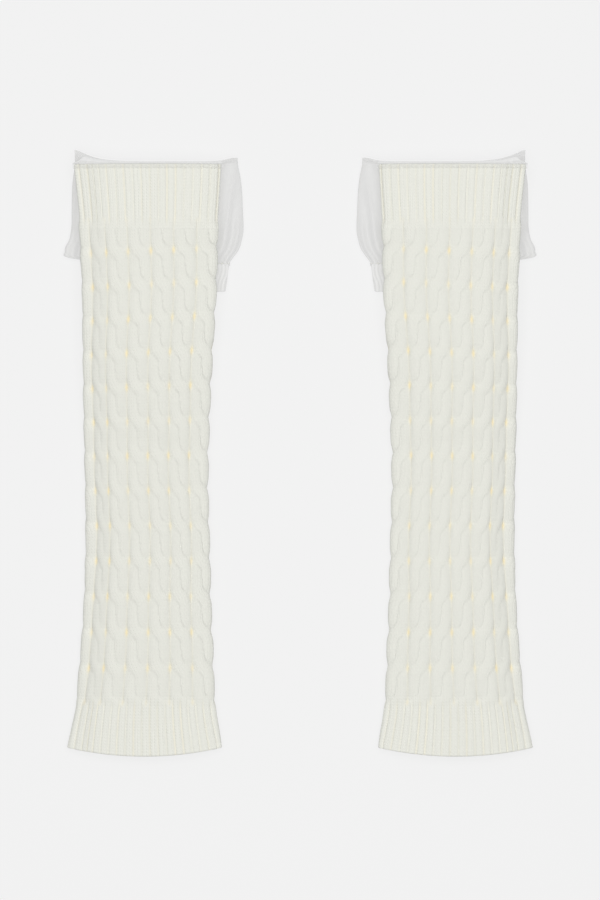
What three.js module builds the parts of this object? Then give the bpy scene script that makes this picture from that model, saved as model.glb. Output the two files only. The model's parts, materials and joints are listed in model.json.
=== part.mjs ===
// A pair of long fingerless gloves, laid flat side by side on a table.
//
// Each glove is a knitted tube, open at both ends: a ribbed band, a cable-knit
// length and a ribbed hem.  A sheer puff is sewn over the top edge and is turned
// down behind the tube, where it is gathered into a narrow elastic cuff.
//
// Millimetres.  +X runs across the pair, +Y along the gloves towards the puffs,
// +Z up from the table.  The origin is under the middle of the pair.
import * as THREE from "three";

// Knitted tube
const KNIT_LENGTH = 399; // top edge to hem
const UPPER_RIB_LENGTH = 44;
const LOWER_RIB_LENGTH = 41;
const TOP_WIDTH = 101; // flat widths of the tube, from the top edge down
const UPPER_RIB_FOOT_WIDTH = 94;
const FOREARM_WIDTH = 89.5;
const WAIST_WIDTH = 83.5;
const LOWER_RIB_HEAD_WIDTH = 94;
const HEM_WIDTH = 106;
const FOREARM_DOWN = 108; // how far down from the top edge these two widths lie
const WAIST_DOWN = 240;
const KNIT_HEIGHT = 15.4; // both layers and the room between them
const KNIT_WALL = 3.6;
const HEM_BOW = 5.4; // the hem's middle hangs this far below its corners
const SWAY = 1.4; // sideways wander of the limp tube
const HEM_SWAY = -2.4;

// Sheer binding on the top edge
const BINDING_OVERLAP = 4; // down over the rib
const BINDING_RISE = 1.5; // past the knitted edge
const BINDING_CLOTH = 0.8;
const OUTER_EAR_RISE = 6.8; // the fold stands up at the tube's two corners
const INNER_EAR_RISE = 3.3;
const EAR_ANGLE = Math.PI / 8; // round the tube, up from its side edge
const EAR_SPREAD = 0.4;
const BINDING_THREAD = 0.7;

// Puff and cuff, behind the tube
const PUFF_LENGTH = 67; // fold to gathers
const PUFF_HEIGHT = 9.2;
const PUFF_CLOTH = 0.7;
const MOUTH_OUTER = 49.5; // reach from the glove's middle to each side
const MOUTH_INNER = 60.3;
const BELLY_INNER = 64.4;
const BULGE_OUTER = 57;
const BULGE_INNER = 61;
const CUFF_WIDTH = 92.5;
const CUFF_MIDDLE = 9.2; // the cuff lies this far off the glove's middle
const CUFF_LENGTH = 20;
const CUFF_LEAN = 0.22; // sideways drift per unit of length
const CUFF_CLOTH = 0.4;
const GATHER_SEAM_LENGTH = 1.2;
const GATHER_SEAM_DEPTH = 1.1;
const ELASTIC_THICKNESS = 0.7;
const ELASTIC_MARGIN = 2.4; // casing left over above and below the elastic

// Seams and label
const SIDE_SEAM_WIDTH = 2;
const SIDE_SEAM_THICKNESS = 2.2;
const PUFF_SEAM_WIDTH = 2.2;
const PUFF_SEAM_THICKNESS = 1.2;
const LABEL_LENGTH = 24;
const LABEL_WIDTH = 12;
const LABEL_THICKNESS = 0.6;
const LABEL_STANDOFF = 0.5; // from the side seam that holds it

// The pair
const PAIR_SPACING = 205; // middle of one glove to middle of the other

// Fit
const GAP = 0.3; // between pieces that are sewn to each other
const SEAM_ROOM = 0.8; // between a side seam and the wall that it runs down
const TURN_ROOM = 0.5; // between the folded puff and the binding above it
const FLATTENING = 0.4; // how much the tube's belly is pressed flat
const RAMP_LENGTH = 110; // over which the tube comes down off the puff
const CUFF_CLEARANCE = 4; // from the cuff's end to where it starts down

// Shape
const SQUARENESS = 3; // exponent of the flattened oval
const AROUND = 32; // points round each ring
const CABLE_RINGS = 16;
const RIB_RINGS = 4;
const SEAM_RINGS = 11;
const SEAM_TOP_SHARE = 0.02; // the puff's seam runs between these shares of its length
const SEAM_FOOT_SHARE = 0.7;

// What follows from them
const TOP_Y = (KNIT_LENGTH - BINDING_RISE - OUTER_EAR_RISE) / 2;
const BINDING_DEPTH = GAP + BINDING_CLOTH;
const LIFT = PUFF_HEIGHT + TURN_ROOM + BINDING_DEPTH;
const MOUTH_Y = TOP_Y + BINDING_RISE + GAP / 2;
const GATHER_Y = MOUTH_Y - PUFF_LENGTH;
const CASING_TOP_Y = GATHER_Y - GATHER_SEAM_LENGTH - 2 * GAP;
const CUFF_END_Y = CASING_TOP_Y - CUFF_LENGTH;
const RAMP_START = TOP_Y - CUFF_END_Y + CUFF_CLEARANCE;
const RAMP_END = RAMP_START + RAMP_LENGTH;
const CASING_DEPTH = 2 * CUFF_CLOTH + 2 * GAP + ELASTIC_THICKNESS;

const MATERIALS = {
  knit: { color: 0xeeeddd, roughness: 0.95, metalness: 0 },
  sheer: { color: 0xe9e9ea, roughness: 0.6, metalness: 0 },
  thread: { color: 0xf0efe4, roughness: 0.7, metalness: 0 },
  elastic: { color: 0xf2f2f0, roughness: 0.8, metalness: 0 },
  label: { color: 0xf4f4f2, roughness: 0.4, metalness: 0 },
};

function smoothstep(from, to, x) {
  const t = Math.min(1, Math.max(0, (x - from) / (to - from)));
  return t * t * (3 - 2 * t);
}

// A smooth line through stations [[x, y], ...] in order of x: cubic Hermite
// pieces whose slopes are those of the chords on either side.
function through(stations, x) {
  const last = stations.length - 1;
  const slope = (i) => {
    const [x0, y0] = stations[Math.max(i - 1, 0)];
    const [x1, y1] = stations[Math.min(i + 1, last)];
    return (y1 - y0) / (x1 - x0);
  };
  let i = 0;
  while (i < last - 1 && x > stations[i + 1][0]) i += 1;
  const [x0, y0] = stations[i];
  const [x1, y1] = stations[i + 1];
  const span = x1 - x0;
  const t = Math.min(1, Math.max(0, (x - x0) / span));
  const rest = 1 - t;
  const ends = rest * rest * (1 + 2 * t) * y0 + t * t * (3 - 2 * t) * y1;
  return ends + span * t * rest * (rest * slope(i) - t * slope(i + 1));
}

// A flattened oval's point at an angle, for unit half width and half height.
function ovalAt(angle) {
  const squared = (t) => Math.sign(t) * Math.abs(t) ** (2 / SQUARENESS);
  return [squared(Math.cos(angle)), squared(Math.sin(angle))];
}

function ringOf(pointAt) {
  return Array.from({ length: AROUND }, (_, i) => pointAt((2 * Math.PI * i) / AROUND));
}

// A closed solid from rings of equally many points.  With loop true the last ring
// joins the first, which makes a tube with a wall; otherwise both ends are capped.
function loft(rings, loop) {
  const count = rings[0].length;
  const points = rings.flat();
  const faces = [];
  const pairs = loop ? rings.length : rings.length - 1;
  for (let j = 0; j < pairs; j += 1) {
    const here = j * count;
    const next = ((j + 1) % rings.length) * count;
    for (let i = 0; i < count; i += 1) {
      const k = (i + 1) % count;
      faces.push(here + i, here + k, next + k, here + i, next + k, next + i);
    }
  }
  if (!loop) {
    const end = (rings.length - 1) * count;
    for (let i = 1; i < count - 1; i += 1) {
      faces.push(0, i + 1, i, end, end + i, end + i + 1);
    }
  }
  return facingOut(points, faces);
}

// Turns the faces round if the solid's signed volume says that they point inwards.
function facingOut(points, faces) {
  let volume = 0;
  for (let i = 0; i < faces.length; i += 3) {
    const [a, b, c] = [points[faces[i]], points[faces[i + 1]], points[faces[i + 2]]];
    volume += a.dot(b.clone().cross(c));
  }
  if (volume < 0) faces.reverse();
  const geometry = new THREE.BufferGeometry().setFromPoints(points);
  geometry.setIndex(faces);
  geometry.computeVertexNormals();
  return geometry;
}

// The knitted tube's own shape, at a distance down from its top edge.
const WIDTHS = [
  [0, TOP_WIDTH],
  [UPPER_RIB_LENGTH, UPPER_RIB_FOOT_WIDTH],
  [FOREARM_DOWN, FOREARM_WIDTH],
  [WAIST_DOWN, WAIST_WIDTH],
  [KNIT_LENGTH - LOWER_RIB_LENGTH, LOWER_RIB_HEAD_WIDTH],
  [KNIT_LENGTH, HEM_WIDTH],
];
const SWAYS = [
  [0, 0],
  [0.21 * KNIT_LENGTH, SWAY],
  [0.47 * KNIT_LENGTH, -SWAY / 2],
  [0.75 * KNIT_LENGTH, 0],
  [KNIT_LENGTH, HEM_SWAY],
];
const liftAt = (down) => LIFT * (1 - smoothstep(RAMP_START, RAMP_END, down));
const centreZ = (down) => liftAt(down) + KNIT_HEIGHT / 2 - FLATTENING;

// A ring of the tube, set in from its outer face; a negative inset lies outside it.
function knitRing(down, inset, rise = () => 0) {
  const half = through(WIDTHS, down) / 2 - inset;
  const high = KNIT_HEIGHT / 2 - inset;
  const bow = HEM_BOW * smoothstep(RIB_HEAD, KNIT_LENGTH, down);
  return ringOf((angle) => {
    const [across, up] = ovalAt(angle);
    return new THREE.Vector3(
      through(SWAYS, down) + half * across,
      TOP_Y - down + bow * across ** 2 + rise(angle),
      Math.max(liftAt(down) + inset, centreZ(down) + high * up),
    );
  });
}

// Distances down from the top edge at which the knit's rings lie.
function stationsOf(from, to, rings) {
  return Array.from({ length: rings }, (_, i) => from + ((to - from) * i) / (rings - 1));
}
const RIB_FOOT = UPPER_RIB_LENGTH;
const RIB_HEAD = KNIT_LENGTH - LOWER_RIB_LENGTH;
const UPPER_RIB_STATIONS = stationsOf(0, RIB_FOOT - GAP / 2, RIB_RINGS);
const CABLE_STATIONS = stationsOf(RIB_FOOT + GAP / 2, RIB_HEAD - GAP / 2, CABLE_RINGS);
const LOWER_RIB_STATIONS = stationsOf(RIB_HEAD + GAP / 2, KNIT_LENGTH, RIB_RINGS);

function knitTube(stations) {
  const outside = stations.map((down) => knitRing(down, 0));
  const inside = stations.map((down) => knitRing(down, KNIT_WALL)).reverse();
  return loft([...outside, ...inside], true);
}

// The sheer stands up in two ears at the corners of the upper layer.
function earRise(angle) {
  const bump = (at, rise) => rise * smoothstep(EAR_SPREAD, 0, Math.abs(angle - at));
  return bump(Math.PI - EAR_ANGLE, OUTER_EAR_RISE) + bump(EAR_ANGLE, INNER_EAR_RISE);
}

// Folded over the edge: down the outside of the rib and down its inside.
function binding() {
  const outer = -BINDING_DEPTH;
  const inner = KNIT_WALL + BINDING_DEPTH;
  return loft(
    [
      knitRing(BINDING_OVERLAP, outer),
      knitRing(-BINDING_RISE, outer, earRise),
      knitRing(-BINDING_RISE, inner, earRise),
      knitRing(BINDING_OVERLAP, inner),
      knitRing(BINDING_OVERLAP, inner - BINDING_CLOTH),
      knitRing(-GAP, inner - BINDING_CLOTH),
      knitRing(-GAP, outer + BINDING_CLOTH),
      knitRing(BINDING_OVERLAP, outer + BINDING_CLOTH),
    ],
    true,
  );
}

// A band round the tube: the row of stitches under the binding.
function bindingStitches() {
  const from = BINDING_OVERLAP + GAP;
  const to = from + BINDING_THREAD;
  const outer = -GAP - BINDING_THREAD;
  return loft(
    [knitRing(from, outer), knitRing(to, outer), knitRing(to, -GAP), knitRing(from, -GAP)],
    true,
  );
}

// A strip of the given width and thickness down the inside of a tube's outer edge.
// Each of the edge's points says where the strip starts across, along and up.
function strip(edge, width, thickness) {
  const sections = edge.map(({ x, y, z }) => {
    const corner = (dx, dz) => new THREE.Vector3(x + dx, y, z + dz);
    const half = thickness / 2;
    return [corner(0, -half), corner(width, -half), corner(width, half), corner(0, half)];
  });
  return loft(sections, false);
}

// How far a flattened oval's side has come in where a strip's corners meet it.
function sideClearance(half, high, thickness) {
  const share = Math.min(0.95, (thickness / 2 + GAP) / high);
  return half * (1 - (1 - share ** SQUARENESS) ** (1 / SQUARENESS)) + SEAM_ROOM;
}

// Where the side seam's outer edge runs, at a distance down from the top edge.
function sideSeamAt(down) {
  const half = through(WIDTHS, down) / 2 - KNIT_WALL;
  const high = KNIT_HEIGHT / 2 - KNIT_WALL;
  const bow = HEM_BOW * smoothstep(RIB_HEAD, KNIT_LENGTH, down);
  return {
    x: through(SWAYS, down) - half + sideClearance(half, high, SIDE_SEAM_THICKNESS),
    y: TOP_Y - down + bow,
    z: centreZ(down),
  };
}

function sideSeam() {
  const from = BINDING_OVERLAP + SEAM_ROOM;
  const to = KNIT_LENGTH - HEM_BOW;
  const rings = [...UPPER_RIB_STATIONS, ...CABLE_STATIONS, ...LOWER_RIB_STATIONS];
  const between = rings.filter((down) => down > from && down < to);
  const edge = [from, ...between, to].map(sideSeamAt);
  return strip(edge, SIDE_SEAM_WIDTH, SIDE_SEAM_THICKNESS);
}

// A blank cloth tab beside the side seam, just inside the hem.
function careLabel() {
  const down = (RIB_HEAD + KNIT_LENGTH) / 2;
  const ends = [sideSeamAt(down - LABEL_LENGTH / 2).x, sideSeamAt(down + LABEL_LENGTH / 2).x];
  const start = Math.max(...ends) + SIDE_SEAM_WIDTH + LABEL_STANDOFF;
  const geometry = new THREE.BoxGeometry(LABEL_WIDTH, LABEL_LENGTH, LABEL_THICKNESS);
  return geometry.translate(start + LABEL_WIDTH / 2, TOP_Y - down, centreZ(down));
}

// The puff's outline: how far down from its mouth, and its reach to each side.
const PUFF_OUTLINE = [
  { at: 0, outer: MOUTH_OUTER, inner: MOUTH_INNER },
  { at: 0.16, outer: MOUTH_OUTER + 1.5, inner: (MOUTH_INNER + BELLY_INNER) / 2 },
  { at: 0.49, outer: MOUTH_OUTER + 2.5, inner: BELLY_INNER },
  { at: 0.77, outer: BULGE_OUTER - 2.8, inner: BELLY_INNER - 0.6 },
  { at: 0.89, outer: BULGE_OUTER, inner: BULGE_INNER },
  { at: 0.96, outer: BULGE_OUTER - 3, inner: BULGE_INNER - 3.5 },
  { at: 1, outer: CUFF_WIDTH / 2 - CUFF_MIDDLE, inner: CUFF_WIDTH / 2 + CUFF_MIDDLE },
];

// A ring of cloth lying on the table, from x = -outer to x = inner.
function clothRing(y, outer, inner, inset) {
  const half = (outer + inner) / 2 - inset;
  const high = PUFF_HEIGHT / 2 - inset;
  return ringOf((angle) => {
    const [across, up] = ovalAt(angle);
    return new THREE.Vector3((inner - outer) / 2 + half * across, y, PUFF_HEIGHT / 2 + high * up);
  });
}

function puff() {
  const ringAt = (inset) => (o) =>
    clothRing(MOUTH_Y - PUFF_LENGTH * o.at, o.outer, o.inner, inset);
  const outside = PUFF_OUTLINE.map(ringAt(0));
  const inside = PUFF_OUTLINE.map(ringAt(PUFF_CLOTH)).reverse();
  return loft([...outside, ...inside], true);
}

function puffSeam() {
  const reach = PUFF_OUTLINE.map(({ at, outer }) => [at, outer]);
  const high = PUFF_HEIGHT / 2 - PUFF_CLOTH;
  const half = (MOUTH_OUTER + MOUTH_INNER) / 2;
  return strip(
    stationsOf(SEAM_TOP_SHARE, SEAM_FOOT_SHARE, SEAM_RINGS).map((at) => {
      const side = sideClearance(half, high, PUFF_SEAM_THICKNESS) + PUFF_CLOTH;
      return {
        x: -through(reach, at) + side,
        y: MOUTH_Y - PUFF_LENGTH * at,
        z: PUFF_HEIGHT / 2,
      };
    }),
    PUFF_SEAM_WIDTH,
    PUFF_SEAM_THICKNESS,
  );
}

// A ring of the cuff, at a distance down from its casing's top.
function cuffRing(down, inset) {
  const middle = CUFF_MIDDLE - CUFF_LEAN * down;
  return clothRing(
    CASING_TOP_Y - down,
    CUFF_WIDTH / 2 - middle,
    CUFF_WIDTH / 2 + middle,
    inset,
  );
}

// A square-edged band that follows the cuff.
function cuffBand(from, to, outer, inner) {
  return loft(
    [cuffRing(from, outer), cuffRing(to, outer), cuffRing(to, inner), cuffRing(from, inner)],
    true,
  );
}

function gatherSeam() {
  return cuffBand(-GAP - GATHER_SEAM_LENGTH, -GAP, GAP, GAP + GATHER_SEAM_DEPTH);
}

// Cloth turned up round the elastic, open along the gathers.
function cuffCasing() {
  const end = CUFF_LENGTH;
  return loft(
    [
      cuffRing(0, 0),
      cuffRing(end, 0),
      cuffRing(end, CASING_DEPTH),
      cuffRing(0, CASING_DEPTH),
      cuffRing(0, CASING_DEPTH - CUFF_CLOTH),
      cuffRing(end - CUFF_CLOTH, CASING_DEPTH - CUFF_CLOTH),
      cuffRing(end - CUFF_CLOTH, CUFF_CLOTH),
      cuffRing(0, CUFF_CLOTH),
    ],
    true,
  );
}

function cuffElastic() {
  const outer = CUFF_CLOTH + GAP;
  return cuffBand(
    ELASTIC_MARGIN,
    CUFF_LENGTH - ELASTIC_MARGIN,
    outer,
    outer + ELASTIC_THICKNESS,
  );
}

// One glove, in its own frame: its outer side is towards -X.
function glove(side) {
  const group = new THREE.Group();
  const add = (name, geometry, look) => {
    const mesh = new THREE.Mesh(geometry, new THREE.MeshStandardMaterial(MATERIALS[look]));
    mesh.name = side + "_" + name;
    group.add(mesh);
  };
  add("upper_rib", knitTube(UPPER_RIB_STATIONS), "knit");
  add("cable_tube", knitTube(CABLE_STATIONS), "knit");
  add("lower_rib", knitTube(LOWER_RIB_STATIONS), "knit");
  add("side_seam", sideSeam(), "thread");
  add("top_binding", binding(), "sheer");
  add("binding_stitches", bindingStitches(), "thread");
  add("puff", puff(), "sheer");
  add("puff_seam", puffSeam(), "sheer");
  add("gather_seam", gatherSeam(), "thread");
  add("cuff_casing", cuffCasing(), "sheer");
  add("cuff_elastic", cuffElastic(), "elastic");
  if (side === "left") add("care_label", careLabel(), "label");
  return group;
}

const pair = new THREE.Group();
const left = glove("left");
left.position.x = -PAIR_SPACING / 2;
const right = glove("right");
right.position.x = PAIR_SPACING / 2;
right.scale.x = -1; // the right glove mirrors the left
pair.add(left, right);

export default pair;
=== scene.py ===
"""A pair of cable-knit fingerless gloves with sheer puffs folded down behind their top edges.

The file is laid out as a Blender add-on and run as a script. Lengths are in metres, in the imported
model's frame: X across the pair, Y along the gloves towards the puffs, Z up from the table.
"""

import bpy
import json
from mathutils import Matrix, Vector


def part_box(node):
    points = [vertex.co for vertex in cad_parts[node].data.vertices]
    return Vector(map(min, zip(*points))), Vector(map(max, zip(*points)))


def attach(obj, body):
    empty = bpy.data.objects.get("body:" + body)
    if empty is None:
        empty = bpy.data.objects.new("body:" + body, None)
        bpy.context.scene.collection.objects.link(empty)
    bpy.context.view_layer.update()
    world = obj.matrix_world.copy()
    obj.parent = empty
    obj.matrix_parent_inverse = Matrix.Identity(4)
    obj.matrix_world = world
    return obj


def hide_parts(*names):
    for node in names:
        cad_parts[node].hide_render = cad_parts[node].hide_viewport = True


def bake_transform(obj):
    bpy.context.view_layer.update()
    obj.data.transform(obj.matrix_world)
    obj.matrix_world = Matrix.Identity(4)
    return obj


bl_info = {
    "name": "Fingerless gloves",
    "version": (1, 0, 0),
    "blender": (4, 5, 0),
    "location": "View3D > Sidebar > Gloves",
    "description": "Builds a pair of cable-knit fingerless gloves with sheer puffs",
    "category": "Add Mesh",
}

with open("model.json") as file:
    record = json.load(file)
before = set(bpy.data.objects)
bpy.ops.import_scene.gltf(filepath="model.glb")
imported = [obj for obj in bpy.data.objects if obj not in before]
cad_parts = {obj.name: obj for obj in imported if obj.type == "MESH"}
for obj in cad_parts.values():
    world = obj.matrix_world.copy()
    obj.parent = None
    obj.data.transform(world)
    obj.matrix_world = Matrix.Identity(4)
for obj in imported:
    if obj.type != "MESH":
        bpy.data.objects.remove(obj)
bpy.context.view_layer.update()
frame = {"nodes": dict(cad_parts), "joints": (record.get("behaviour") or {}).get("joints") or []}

import json

import bpy
import numpy as np

MM = 0.001
SIDES = ("left", "right")
TAU = 2 * np.pi

# Round the tube a place is a share from 0 to 1. It starts under the tube's middle, passes the
# side nearer the other glove at a quarter, the top at a half and the outer side at three quarters.
CABLES = 12
STEPS_PER_CABLE = 32
STEPS_PER_CROSSING = 17
STEPS_PER_PLEAT = 8
STITCHES_PER_CABLE = 6

# The sheer cloth's shade says how close its layers lie. It adds to the cover, and past CLOSE_LAYERS
# to the glow, which is painted light. It is below zero where the cloth lies single and stretched.
# It also paints light and shade: low along the puff's ridge, high beside it and on pleats' crests.
SHADE_COVER = 0.22
WEAVE_COVER = 0.16
CLOSE_LAYERS = 0.9
CLOSE_GLOW = 0.35
BAND_CLEAR = -2.3
BAND_CLOSE = 1.1

OVERLAP_ROWS = 9


# --- What the frame says -------------------------------------------------------------------------


def node_points(name):
    """A CAD node's vertices as an array, at rest."""
    mesh = frame["nodes"][name].data
    points = np.zeros(len(mesh.vertices) * 3, np.float32)
    mesh.vertices.foreach_get("co", points)
    return points.reshape(-1, 3).astype(float)


def node_rings(name):
    """The lowest and highest corner of each of a node's rings, which lie at one Y each.

    The rings come by falling Y.
    """
    points = node_points(name)
    heights = np.unique(np.round(points[:, 1], 6))[::-1]
    rings = [points[np.abs(points[:, 1] - y) < 2e-6] for y in heights]
    return np.array([np.concatenate([ring.min(0), ring.max(0)]) for ring in rings])


def smoothstep(start, end, value):
    """Zero up to start, one from end on, and a cubic with level ends between them."""
    share = np.clip((value - start) / (end - start), 0, 1)
    return share * share * (3 - 2 * share)


def bell(value, width):
    """One at zero, falling off on both sides as a Gaussian of that width."""
    return np.exp(-((value / width) ** 2))


def through(at, values, where):
    """A cubic Hermite line through stations in rising order, with the slopes of their neighbours."""
    slopes = np.gradient(values, at)
    i = np.clip(np.searchsorted(at, where) - 1, 0, len(at) - 2)
    span = at[i + 1] - at[i]
    t = np.clip((where - at[i]) / span, 0, 1)
    rest = 1 - t
    ends = rest * rest * (1 + 2 * t) * values[i] + t * t * (3 - 2 * t) * values[i + 1]
    return ends + span * t * rest * (rest * slopes[i] - t * slopes[i + 1])


def measure_knit():
    """The left tube's stations from the top edge down, read off its CAD rings and its hem."""
    rings = np.vstack([node_rings("left_upper_rib"), node_rings("left_cable_tube")])
    hem_points = node_points("left_lower_rib")
    low, high = hem_points.min(0), hem_points.max(0)
    hem = np.concatenate([low, high])
    corner = hem_points[hem_points[:, 0].argmin(), 1]
    rings = np.vstack([rings, hem])
    top = rings[0, 1]
    return {
        "top": top,
        "length": top - low[1],
        "rib_foot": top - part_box("left_upper_rib")[0].y,
        "rib_head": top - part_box("left_cable_tube")[0].y,
        "bow": corner - low[1],
        "down": top - rings[:, 1],
        "left": rings[:, 0],
        "right": rings[:, 3],
        "bottom": rings[:, 2],
        "ceiling": rings[:, 5],
    }


KNIT = measure_knit()
HINGE = next(j for j in frame["joints"] if j["name"] == "left_puff_fold")["pos_m"]
PUFF_RINGS = node_rings("left_puff")
CUFF_RINGS = node_rings("left_cuff_casing")
PUFF_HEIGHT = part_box("left_puff")[1].z
PUFF_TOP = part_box("left_puff")[1].y
PUFF_LENGTH = PUFF_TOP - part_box("left_puff")[0].y
KNIT_OVAL = (45 * MM, 6 * MM)
PUFF_OVAL = (50 * MM, 3.6 * MM)


# --- Meshes --------------------------------------------------------------------------------------


def grid_faces(rows, columns, wrap_rows):
    """Quads of a grid whose columns go all the way round; with wrap_rows its rows do too."""
    row = np.arange(rows if wrap_rows else rows - 1)[:, None]
    column = np.arange(columns)[None, :]
    below, beside = (row + 1) % rows, (column + 1) % columns
    corners = [
        row * columns + column,
        row * columns + beside,
        below * columns + beside,
        below * columns + column,
    ]
    return np.stack(corners, axis=-1).reshape(-1, 4)


def corner_values(values, rows, columns, wrap_rows):
    """A map given on rows x (columns + 1) points, for each corner of grid_faces in turn."""
    row = np.arange(rows if wrap_rows else rows - 1)[:, None]
    column = np.arange(columns)[None, :]
    below = (row + 1) % rows
    picked = [
        values[row, column],
        values[row, column + 1],
        values[below, column + 1],
        values[below, column],
    ]
    return np.stack(picked, axis=2).reshape(-1, 2)


def signed_volume(points, faces):
    """Six times the volume that the quads enclose, negative where they face inward."""
    a, b, c, d = (points[faces[:, i]] for i in range(4))
    return (a * np.cross(b, c)).sum() + (a * np.cross(c, d)).sum()


def zipped_caps(rows, columns):
    """Quads that close the first and last rows of a grid whose columns go round.

    Each quad joins two neighbouring columns to the two that lie across the ring from them.
    """
    near = np.arange(columns // 2 - 1)
    cap = np.stack([near, near + 1, columns - 2 - near, columns - 1 - near], axis=-1)
    return np.vstack([cap[:, ::-1], cap + (rows - 1) * columns])


def cloth_map(points, wrap_rows):
    """A map in metres for each corner: the length round a row, and the length down the rows."""
    rows, columns = points.shape[:2]
    round_again = np.concatenate([points, points[:, :1]], axis=1)
    across = np.linalg.norm(np.diff(round_again, axis=1), axis=2).mean(0)
    along = np.linalg.norm(np.diff(points, axis=0), axis=2).mean(1)
    u = np.concatenate([[0], across.cumsum()])[None, :]
    v = np.concatenate([[0], along.cumsum()])[:, None]
    values = np.stack(np.broadcast_arrays(u, v), axis=-1)
    return corner_values(values, rows, columns, wrap_rows)


def new_piece(name, side, points, faces, material, uv=None, shade=None, closed=True):
    """Puts arrays into a smooth mesh that stands for the CAD node of that name.

    The right glove's pieces mirror the left one's in X. A closed piece whose signed volume is
    negative has its faces turned round, and so has an open one on the right. shade is a value at
    each point, which the material reads.
    """
    points = points.reshape(-1, 3).copy()
    if side == "right":
        points[:, 0] *= -1
    inside_out = signed_volume(points, faces) < 0 if closed else side == "right"
    if inside_out:
        faces = faces[:, ::-1]
        uv = None if uv is None else uv.reshape(-1, 4, 2)[:, ::-1].reshape(-1, 2)
    mesh = bpy.data.meshes.new(f"{side}_{name}_detail")
    mesh.from_pydata(points.tolist(), [], faces.tolist())
    mesh.polygons.foreach_set("use_smooth", np.ones(len(faces), bool))
    if uv is not None:
        layer = mesh.uv_layers.new(name="cloth")
        layer.data.foreach_set("uv", uv.astype(np.float32).ravel())
    layer = mesh.attributes.new("shade", "FLOAT", "POINT")
    values = np.zeros(len(points)) if shade is None else shade
    layer.data.foreach_set("value", values.astype(np.float32).ravel())
    mesh.materials.append(material)
    mesh.update()
    piece = bpy.data.objects.new(f"{side}_{name}_detail", mesh)
    bpy.context.scene.collection.objects.link(piece)
    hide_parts(f"{side}_{name}")
    return piece


# --- Shader groups and materials -----------------------------------------------------------------


def new_group(name, inputs, outputs):
    """An empty node group with sockets given as (name, type, default)."""
    tree = bpy.data.node_groups.new(name, "ShaderNodeTree")
    for socket, kind, default in inputs:
        made = tree.interface.new_socket(socket, in_out="INPUT", socket_type=kind)
        if default is not None:
            made.default_value = default
    for socket, kind in outputs:
        tree.interface.new_socket(socket, in_out="OUTPUT", socket_type=kind)
    return tree, tree.nodes.new("NodeGroupInput"), tree.nodes.new("NodeGroupOutput")


def math_node(tree, operation, first, second=None, third=None):
    """A Math node; each value is a number or the socket that feeds it."""
    node = tree.nodes.new("ShaderNodeMath")
    node.operation = operation
    for slot, value in zip(node.inputs, (first, second, third)):
        if isinstance(value, (int, float)):
            slot.default_value = value
        elif value is not None:
            tree.links.new(value, slot)
    return node.outputs[0]


def knit_stitch_group():
    """Rows of V-shaped stitches on a map whose unit is one stitch.

    Across a stitch the two legs lean towards its middle, so the row's phase is shifted by the
    distance from the middle. A leg's height is the root of a half sine along the row, and it falls
    off at the middle and at both edges. Noise stands for the fibres.
    """
    tree, given, put = new_group(
        "knit stitches",
        [("Map", "NodeSocketVector", None), ("Fuzz", "NodeSocketFloat", 0.3)],
        [("Height", "NodeSocketFloat"), ("Fibre", "NodeSocketFloat")],
    )
    parts = tree.nodes.new("ShaderNodeSeparateXYZ")
    tree.links.new(given.outputs["Map"], parts.inputs[0])
    inside = math_node(tree, "SUBTRACT", math_node(tree, "FRACT", parts.outputs[0]), 0.5)
    off = math_node(tree, "MULTIPLY", math_node(tree, "ABSOLUTE", inside), 2.0)
    phase = math_node(tree, "FRACT", math_node(tree, "MULTIPLY_ADD", off, 0.55, parts.outputs[1]))
    leg = math_node(tree, "SQRT", math_node(tree, "SINE", math_node(tree, "MULTIPLY", phase, np.pi)))
    edge = math_node(tree, "SUBTRACT", 1.0, math_node(tree, "POWER", off, 5.0))
    middle = math_node(tree, "MULTIPLY_ADD", math_node(tree, "MINIMUM", off, 0.25), 2.0, 0.5)
    yarn = math_node(tree, "MULTIPLY", leg, math_node(tree, "MULTIPLY", edge, middle))
    fibre = tree.nodes.new("ShaderNodeTexNoise")
    fibre.inputs["Scale"].default_value = 4.5
    fibre.inputs["Detail"].default_value = 3.0
    fibre.inputs["Roughness"].default_value = 0.7
    tree.links.new(given.outputs["Map"], fibre.inputs["Vector"])
    fuzz = math_node(tree, "MULTIPLY", fibre.outputs["Fac"], given.outputs["Fuzz"])
    tree.links.new(math_node(tree, "ADD", yarn, fuzz), put.inputs["Height"])
    tree.links.new(fibre.outputs["Fac"], put.inputs["Fibre"])
    return tree


def weave_group():
    """A plain weave on a map whose unit is one thread.

    Threads one way pass over the others in a chequerboard: height is the product of a sine across
    and a sine along. Thickness rises where threads lie and falls in the pores between them, and
    slow noise makes the cloth a little uneven.
    """
    tree, given, put = new_group(
        "plain weave",
        [("Map", "NodeSocketVector", None), ("Slub", "NodeSocketFloat", 0.3)],
        [("Height", "NodeSocketFloat"), ("Cover", "NodeSocketFloat")],
    )
    parts = tree.nodes.new("ShaderNodeSeparateXYZ")
    tree.links.new(given.outputs["Map"], parts.inputs[0])
    warp = math_node(tree, "SINE", math_node(tree, "MULTIPLY", parts.outputs[0], np.pi))
    weft = math_node(tree, "SINE", math_node(tree, "MULTIPLY", parts.outputs[1], np.pi))
    tree.links.new(math_node(tree, "MULTIPLY", warp, weft), put.inputs["Height"])
    slub = tree.nodes.new("ShaderNodeTexNoise")
    slub.inputs["Scale"].default_value = 0.035
    slub.inputs["Detail"].default_value = 4.0
    tree.links.new(given.outputs["Map"], slub.inputs["Vector"])
    threads = math_node(
        tree, "MAXIMUM", math_node(tree, "ABSOLUTE", warp), math_node(tree, "ABSOLUTE", weft)
    )
    uneven = math_node(
        tree, "MULTIPLY", math_node(tree, "SUBTRACT", slub.outputs["Fac"], 0.5), given.outputs["Slub"]
    )
    tree.links.new(math_node(tree, "ADD", threads, uneven), put.inputs["Cover"])
    return tree


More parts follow.
